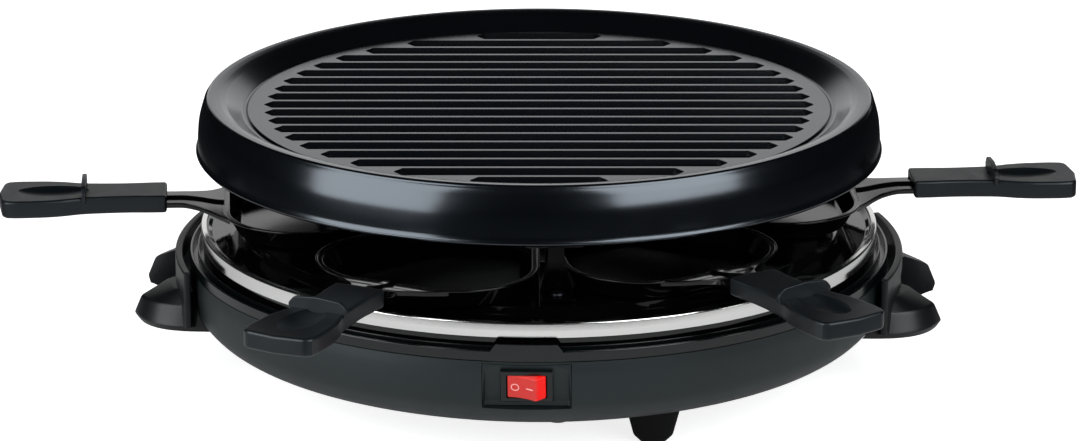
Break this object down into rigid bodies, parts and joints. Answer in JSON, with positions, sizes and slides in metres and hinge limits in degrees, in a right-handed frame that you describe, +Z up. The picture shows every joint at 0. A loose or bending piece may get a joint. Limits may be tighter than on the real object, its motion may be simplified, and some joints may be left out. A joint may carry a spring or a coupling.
{
  "type": "raclette grill",
  "caption": "Round table-top raclette grill: ribbed lift-off plate on legs above pull-out pans with grips, on a base with side handles and a rocker switch.",
  "frame": {"origin": "centre of the round stack at the bottom of the feet", "axes": "+Z up, -Y towards the switch, +X towards the right carrying handle"},
  "size_m": [0.5268, 0.4908, 0.1372],
  "materials": {
    "housing_plastic": "fine textured charcoal black moulding",
    "trim_plastic": "satin black trim",
    "handle_plastic": "satin black carrying handles",
    "grip_plastic": "soft satin blue-black phenolic",
    "black_enamel": "glossy black enamel",
    "chrome": "bright rolled band",
    "plate_coating": "cast plate under a black non-stick coat with a blue sheen",
    "pan_coating": "glossy black non-stick coat",
    "steel": "plain steel",
    "black_steel": "black stoved paint",
    "ceramic": "unglazed insulating block",
    "brass": "plain contact tabs",
    "rubber": "matt black rubber",
    "switch_plastic": "black switch housing",
    "rocker_red": "clear red, lit from inside",
    "lamp_glass": "small neon lamp",
    "wire_cover": "heat-proof sleeving"
  },
  "bodies": {
    "base": {"base_housing": "housing_plastic", "bottom_cover": "housing_plastic", "chrome_ring": "chrome", "cord_gland": "rubber", "cover_screw_1": "steel", "cover_screw_2": "steel", "cover_screw_3": "steel", "element_clip_1": "steel", "element_clip_2": "steel", "element_clip_3": "steel", "foot_1": "rubber", "foot_2": "rubber", "foot_3": "rubber", "heater_frame": "steel", "heating_element": "steel", "leg_screw_1": "steel", "leg_screw_2": "steel", "leg_screw_3": "steel", "reflector_tray": "black_enamel", "side_handle_left": "handle_plastic", "side_handle_right": "handle_plastic", "support_leg_1": "black_steel", "support_leg_2": "black_steel", "support_leg_3": "black_steel", "switch_body": "switch_plastic", "switch_lamp": "lamp_glass", "switch_panel": "trim_plastic", "switch_terminal_1": "brass", "switch_terminal_2": "brass", "switch_terminal_3": "brass", "terminal_block": "ceramic", "terminal_strip": "ceramic", "trim_collar": "trim_plastic", "wire_conduit": "black_steel", "wire_live": "wire_cover", "wire_neutral": "wire_cover", "wire_switched": "wire_cover"},
    "plate": {"grill_plate": "plate_coating"},
    "rocker": {"rocker_button": "rocker_red"},
    "pan_set_1": {"pan_1": "pan_coating", "pan_grip_1": "grip_plastic"},
    "pan_set_2": {"pan_2": "pan_coating", "pan_grip_2": "grip_plastic"},
    "pan_set_3": {"pan_3": "pan_coating", "pan_grip_3": "grip_plastic"},
    "pan_set_4": {"pan_4": "pan_coating", "pan_grip_4": "grip_plastic"},
    "pan_set_5": {"pan_5": "pan_coating", "pan_grip_5": "grip_plastic"},
    "pan_set_6": {"pan_6": "pan_coating", "pan_grip_6": "grip_plastic"}
  },
  "joints": [
    {"name": "plate_lift", "type": "slide", "parent": "base", "child": "plate", "axis": [0, 0, 1], "range_m": [0, 0.08]},
    {"name": "rocker_hinge", "type": "hinge", "parent": "base", "child": "rocker", "pos_m": [0, -0.16871, 0.04338], "axis": [0, -0.3256, 0.9455], "range_deg": [0, 20]},
    {"name": "pan_slide_1", "type": "slide", "parent": "base", "child": "pan_set_1", "axis": [0.9951, 0.0993, 0], "range_m": [0, 0.115]},
    {"name": "pan_slide_2", "type": "slide", "parent": "base", "child": "pan_set_2", "axis": [0.4115, 0.9114, 0], "range_m": [0, 0.115]},
    {"name": "pan_slide_3", "type": "slide", "parent": "base", "child": "pan_set_3", "axis": [-0.5835, 0.8121, 0], "range_m": [0, 0.115]},
    {"name": "pan_slide_4", "type": "slide", "parent": "base", "child": "pan_set_4", "axis": [-0.9951, -0.0993, 0], "range_m": [0, 0.115]},
    {"name": "pan_slide_5", "type": "slide", "parent": "base", "child": "pan_set_5", "axis": [-0.4115, -0.9114, 0], "range_m": [0, 0.115]},
    {"name": "pan_slide_6", "type": "slide", "parent": "base", "child": "pan_set_6", "axis": [0.5835, -0.8121, 0], "range_m": [0, 0.115]}
  ]
}
